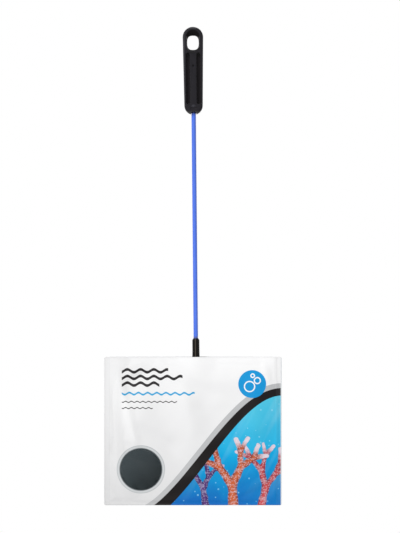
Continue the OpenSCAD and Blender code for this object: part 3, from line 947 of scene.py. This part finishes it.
def net_hem(finish):
    """Right half of the sleeve, drawn along the hoop and then mirrored."""
    bm = bmesh.new()
    bmesh.ops.create_circle(bm, segments=HEM_SIDES, radius=HEM_R)
    bmesh.ops.rotate(bm, matrix=Matrix.Rotation(math.pi / 2, 3, "Y"), verts=bm.verts)
    bmesh.ops.translate(bm, vec=(HEM_START, 0, HOOP_TOP), verts=bm.verts)
    first = bm.edges[:]

    def straight(edges, run, steps):
        for _ in range(steps):
            made = bmesh.ops.extrude_edge_only(bm, edges=edges)["geom"]
            verts = {g for g in made if isinstance(g, bmesh.types.BMVert)}
            edges = [g for g in made if isinstance(g, bmesh.types.BMEdge) and set(g.verts) <= verts]
            bmesh.ops.translate(bm, vec=[part / steps for part in run], verts=list(verts))
        return edges

    def bend(edges, at):
        made = bmesh.ops.spin(bm, geom=edges, cent=at, axis=(0, 1, 0), angle=math.pi / 2, steps=BEND_STEPS)
        return [g for g in made["geom_last"] if isinstance(g, bmesh.types.BMEdge)]

    edges = straight(first, (TOP_STRAIGHT - HEM_START, 0, 0), TOP_STEPS)
    edges = bend(edges, (TOP_STRAIGHT, 0, HOOP_TOP - CORNER_R))
    edges = straight(edges, (0, 0, -SIDE_STRAIGHT), SIDE_STEPS)
    edges = bend(edges, (TOP_STRAIGHT, 0, HOOP_END + CORNER_R))
    straight(edges, (-TOP_STRAIGHT, 0, 0), FOOT_STEPS)
    for vert in bm.verts:
        out, s = off_hoop(vert.co.x, vert.co.z)
        grow = hem_relief(math.atan2(vert.co.y, out), s) / HEM_R
        _, _, turn = along_hoop(s)
        vert.co += Vector((math.cos(turn) * out, vert.co.y, math.sin(turn) * out)) * grow
    made = bmesh.ops.extrude_edge_only(bm, edges=first)["geom"]
    middle = Vector((HEM_START, 0, HOOP_TOP))
    for vert in [g for g in made if isinstance(g, bmesh.types.BMVert)]:
        vert.co = middle + (vert.co - middle) * (LIP_R / (vert.co - middle).length)
    bmesh.ops.mirror(bm, geom=bm.verts[:] + bm.edges[:] + bm.faces[:], axis="X", merge_dist=1e-3)
    bmesh.ops.remove_doubles(bm, verts=bm.verts, dist=1e-3)
    bmesh.ops.recalc_face_normals(bm, faces=bm.faces)
    return mesh_piece("net_hem_sleeve", bm, finish, "net")


def hem_stitches(finish):
    """One short slanted thread at every step along the hem, from its front round to its inner side."""
    bm = bmesh.new()
    for i in range(math.ceil(HEM_START / STITCH_STEP), int(HALF_HOOP / STITCH_STEP)):
        x, z, turn = along_hoop((i + 0.5) * STITCH_STEP)
        ring = bmesh.ops.create_circle(bm, segments=5, radius=STITCH_R)["verts"]
        bmesh.ops.translate(bm, vec=(STITCH_ARC_R, 0, 0), verts=ring)
        bmesh.ops.rotate(bm, matrix=Matrix.Rotation(STITCH_FROM, 3, "Z"), verts=ring)
        geom = ring + list({edge for vert in ring for edge in vert.link_edges})
        before = set(bm.verts) - set(ring)
        bmesh.ops.spin(bm, geom=geom, cent=(0, 0, 0), axis=(0, 0, 1), dvec=(0, 0, STITCH_SLANT),
                       angle=STITCH_SWEEP, steps=5)
        new = [vert for vert in bm.verts if vert not in before]
        # From a frame with its x outward and its z along the wire to the place on the hoop
        c, s = math.cos(turn), math.sin(turn)
        bmesh.ops.transform(bm, matrix=Matrix(((c, 0, s), (0, 1, 0), (s, 0, -c))).to_4x4(), verts=new)
        bmesh.ops.translate(bm, vec=(x, 0, z), verts=new)
    bmesh.ops.holes_fill(bm, edges=[edge for edge in bm.edges if edge.is_boundary], sides=5)
    bmesh.ops.mirror(bm, geom=bm.verts[:] + bm.edges[:] + bm.faces[:], axis="X", merge_dist=0.0)
    bmesh.ops.recalc_face_normals(bm, faces=bm.faces)
    return mesh_piece("hem_stitches", bm, finish, "net")


# The folded bag

# Middle line of the folded bag, from the hoop's top round to its foot: y and z
BAG_PATH = [
    (1.35, -292.2), (1.9, -297.0), (2.3, -312.0), (2.2, -350.0), (2.3, -388.0), (2.0, -404.5),
    (2.1, -408.2), (2.5, -409.2), (3.0, -408.2), (3.6, -402.5), (3.9, -388.0), (4.0, -366.0),
    (4.1, -347.5), (4.4, -345.6), (4.85, -344.9), (5.3, -345.6), (5.55, -347.5), (5.6, -366.0),
    (5.4, -388.0), (4.9, -402.0), (4.2, -407.6), (3.3, -410.2), (2.1, -411.5), (1.2, -411.3),
]
# Steps of its grid across and along the path
BAG_ACROSS, BAG_ALONG = 110, 240
# Where the front layer lies, and over how much depth the folded layers behind it begin
FRONT_LAYER, LAYER_GAP = 2.3, 1.4
# How far the cloth keeps in from the hoop, and how much more and how raggedly its folded layers do
BAG_IN, FOLD_IN, RAGGED = 0.4, 1.3, 0.9
# Foot and height of the stretch over which the folds come to hang unevenly
FOLD_FOOT, FOLD_H = -404, 58
# Creases in the front layer: slopes over x and z, shift, level that z counts from, half width and height
BAG_CREASES = [
    (0.5, 0.86, 0, -350, 3.0, 0.28),
    (1.0, 0.45, 42, -380, 2.6, 0.30),
    (1.0, -0.7, 31, -380, 2.2, 0.24),
]
# How far behind the net's middle the bag starts, reaches beside the hoop, and reaches more inside it
BAG_FROM, BAG_NEAR, BAG_MORE = 1.5, 2.7, 3.4
# Room that the films leave for the cloth, and how far out they lie over the hem and the ferrule
FILM_CLEAR, BEHIND_HEM, OVER_COLLAR = 0.7, 2.9, 3.65


def path_point(path, run, share):
    """Point at a share of the path's length."""
    want = share * run[-1]
    i = max(k for k in range(len(run) - 1) if run[k] <= want) if want > 0 else 0
    t = (want - run[i]) / (run[i + 1] - run[i])
    return [a + (b - a) * t for a, b in zip(path[i], path[i + 1])]


def hoop_half_width(z):
    """Half the width inside the hoop's middle line at height z."""
    past = CORNER_R - min(HOOP_TOP - z, z - HOOP_END)
    if past <= 0:
        return HOOP_X
    return TOP_STRAIGHT + math.sqrt(CORNER_R ** 2 - min(past, CORNER_R) ** 2)


def bag_room(x, z):
    """How far behind the net's middle the folded bag may reach."""
    across = 1 - (x / HOOP_X) ** 2
    return BAG_NEAR + BAG_MORE * max(0.0, across) * ease(min(HOOP_TOP - z, z - HOOP_END) / 16)


def round_head(x, z):
    """How far out the front film has to stay to clear the hem and the ferrule."""
    at = to_net(x, 0, z)
    off, _ = off_hoop(at.x, at.z)
    hem = FILM_CLEAR + 1.4 * ease(1 - (abs(off) - 2.0) / 8)
    collar = OVER_COLLAR * hump(x - POUCH_SHIFT, 7) * ease(1 - (-z - 3) / 8)
    return max(hem, collar)


def round_bag(x, z):
    """How far out the back film has to stay to clear the net head."""
    at = to_net(x, 0, z)
    off, _ = off_hoop(at.x, at.z)
    if off > HEM_R + 0.6:
        return -SEAM_Y
    return bag_room(at.x, at.z) + FILM_CLEAR if off < -4 else BEHIND_HEM


def hang(across, y, z, rest):
    """How the folded layers hang unevenly: their upper fold rises and dips, and leans a little."""
    lift = rest * ease((z - FOLD_FOOT) / FOLD_H)
    sway = noise.noise(Vector((across * 2.6, y / 3, 7.0)))
    sway += 0.45 * noise.noise(Vector((across * 7.5, y / 3, 2.0)))
    return lift * (3.6 * math.sin(across * 2.1 + 0.5) - 3.0 + 5 * sway)


def gather(t, from_hem):
    """Gathers in the cloth beside the hem, which fade out away from it."""
    return 0.20 * math.sin(t * 0.95 + 1.2 * math.sin(t / 9)) * math.exp(-from_hem)


def bag_relief(x, z, across, share, rest):
    """How far the cloth stands off its plain form: soft dents, creases, and gathers at the hem."""
    edge = min(1.0, (1 - abs(across)) * 9, share * 18, (1 - share) * 18)
    soft = noise.noise(Vector((x / 19, z / 23, 1.0 + 2 * rest))) * 0.34
    soft += noise.noise(Vector((x / 8 + z / 30, z / 11, 4.0))) * 0.18
    crease = sum(high * hump(a * x + b * (z - level) + shift, wide)
                 for a, b, shift, level, wide, high in BAG_CREASES)
    gathers = gather(x, share * 26) + gather(z, (1 - abs(across)) * 10)
    return (soft - crease * (1 - rest)) * edge + gathers * (1 - 0.6 * rest)


def net_bag(finish):
    """The bag as one sheet on its folded path, and the length of that path in metres."""
    run = [0.0]
    for (ya, za), (yb, zb) in zip(BAG_PATH, BAG_PATH[1:]):
        run.append(run[-1] + math.hypot(yb - ya, zb - za))
    bm = bmesh.new()
    bmesh.ops.create_grid(bm, x_segments=BAG_ACROSS, y_segments=BAG_ALONG, size=0.5)
    for vert in bm.verts:
        across, share = vert.co.x * 2, 0.5 - vert.co.y
        y, z = path_point(BAG_PATH, run, share)
        # 0 on the front layer and 1 on the folded layers behind it
        rest = ease((y - FRONT_LAYER) / LAYER_GAP)
        z += hang(across, y, z, rest)
        ragged = noise.noise(Vector((z / 9, y, across * 2)))
        x = across * (hoop_half_width(z) - BAG_IN - FOLD_IN * rest - RAGGED * rest * ragged)
        deep = (bag_room(x, z) - BAG_FROM) / (BAG_NEAR + BAG_MORE - BAG_FROM)
        y = BAG_FROM + (y - BAG_FROM) * deep
        vert.co = (x, y + bag_relief(x, z, across, share, rest), z)
    bmesh.ops.recalc_face_normals(bm, faces=bm.faces)
    piece = mesh_piece("net_bag_cloth", bm, finish, "net")
    return piece, run[-1] * MM


# The floor, the light and the camera, in metres

FLOOR_R, FLOOR_Z = 1.1, -0.65
AMBIENT = 0.4
CAMERA_AWAY = 2.0
# Height of the camera's sensor, in its own millimetres
SENSOR_H = 36.0


def stage_floor():
    """A plain pale floor below the net."""
    bm = bmesh.new()
    bmesh.ops.create_circle(bm, cap_ends=True, segments=96, radius=FLOOR_R)
    bmesh.ops.translate(bm, vec=(0, 0, FLOOR_Z), verts=bm.verts)
    mesh = bpy.data.meshes.new("floor")
    bm.to_mesh(mesh)
    bm.free()
    floor = bpy.data.objects.new("floor", mesh)
    bpy.context.scene.collection.objects.link(floor)
    f = Finish("pale_floor", roughness=0.7, specular_ior_level=0.2)
    cloud = f.noise(f.place(), scale=0.02, detail=2)
    f.set("Base Color", f.mix(cloud, srgb(232, 232, 234), srgb(238, 238, 240)))
    mesh.materials.append(f.material)


def lamp(name, at, aim, size, watts):
    """A soft lamp of the given width and height."""
    data = bpy.data.lights.new(name, "AREA")
    data.shape = "ELLIPSE"
    data.size, data.size_y = size
    data.energy = watts
    lamp_object = bpy.data.objects.new(name, data)
    lamp_object.location = at
    lamp_object.rotation_euler = (Vector(aim) - Vector(at)).to_track_quat("-Z", "Y").to_euler()
    bpy.context.scene.collection.objects.link(lamp_object)


def surroundings():
    """A white world that the camera sees at full strength and that lights the object more softly."""
    world = bpy.data.worlds.new("studio")
    bpy.context.scene.world = world
    world.use_nodes = True
    tree = world.node_tree
    path = tree.nodes.new("ShaderNodeLightPath")
    seen = Value(tree, path.outputs["Is Camera Ray"]).max(Value(tree, path.outputs["Is Glossy Ray"]))
    seen = seen.max(Value(tree, path.outputs["Is Transmission Ray"]))
    base = tree.nodes["Background"]
    put(tree, base.inputs["Strength"], AMBIENT + seen * (1 - AMBIENT))
    base.inputs["Color"].default_value = (1.0, 1.0, 1.0, 1.0)


def camera():
    """The photograph's view: straight from the front, level, and rolled a little."""
    data = bpy.data.cameras.new("camera")
    data.sensor_fit = "VERTICAL"
    data.sensor_height = SENSOR_H
    data.lens = SENSOR_H * CAMERA_AWAY / (VIEW_H * MM)
    data.clip_end = 10 * CAMERA_AWAY
    right = Vector((1.0, 0.0, -VIEW_ROLL)).normalized()
    up = Vector((VIEW_ROLL, 0.0, 1.0)).normalized()
    back = Vector((0.0, -1.0, 0.0))
    centre = (right * VIEW_X + up * VIEW_Z) * MM
    eye = bpy.data.objects.new("camera", data)
    turn = Matrix((right, up, back)).transposed().to_4x4()
    eye.matrix_world = Matrix.Translation(centre + back * CAMERA_AWAY) @ turn
    bpy.context.scene.collection.objects.link(eye)
    bpy.context.scene.camera = eye


bpy.context.scene.view_settings.view_transform = "Standard"
surroundings()
stage_floor()
camera()
lamp("key", (-1.75, -2.25, 2.3), (0, 0, -0.25), (1.2, 1.2), 84.0)
lamp("strip", (-0.3, -1.6, -0.2), (0, 0, -0.2), (0.16, 1.0), 2.6)
lamp("fill", (0.3, 1.5, 1.9), (0, 0, -0.25), (0.9, 0.9), 30.0)

handle = moulded_handle(moulded_black())
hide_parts("handle")
coat, steel = blue_coat(), drawn_steel()
dress("stem_coat", coat)
dress("hoop_coat", coat)
dress("ferrule", ferrule_black())
dress("stem_core", steel)
dress("hoop_core", steel)
dress("weld_beads", weld_metal())

sleeve = net_hem(mesh_cloth("hem_mesh", srgb(56, 63, 66), srgb(28, 33, 35), pitch=0.55, see_through=0.0))
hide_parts("net_hem")
stitches = hem_stitches(thread_black())
netting = mesh_cloth("bag_mesh", srgb(74, 83, 87), srgb(38, 44, 47), pitch=0.8, see_through=0.55)
bag, bag_l = net_bag(netting)
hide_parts("net_bag")

printed, plain = printed_film(), plain_film()
front = film("pouch_front_film", front_depth, round_head, FRONT_CREASES,
             seed=3.7, side=-1, finish=printed)
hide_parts("pouch_front")
back = film("pouch_back_film", back_depth, round_bag, BACK_CREASES,
            seed=8.1, side=1, finish=plain)
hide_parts("pouch_back")
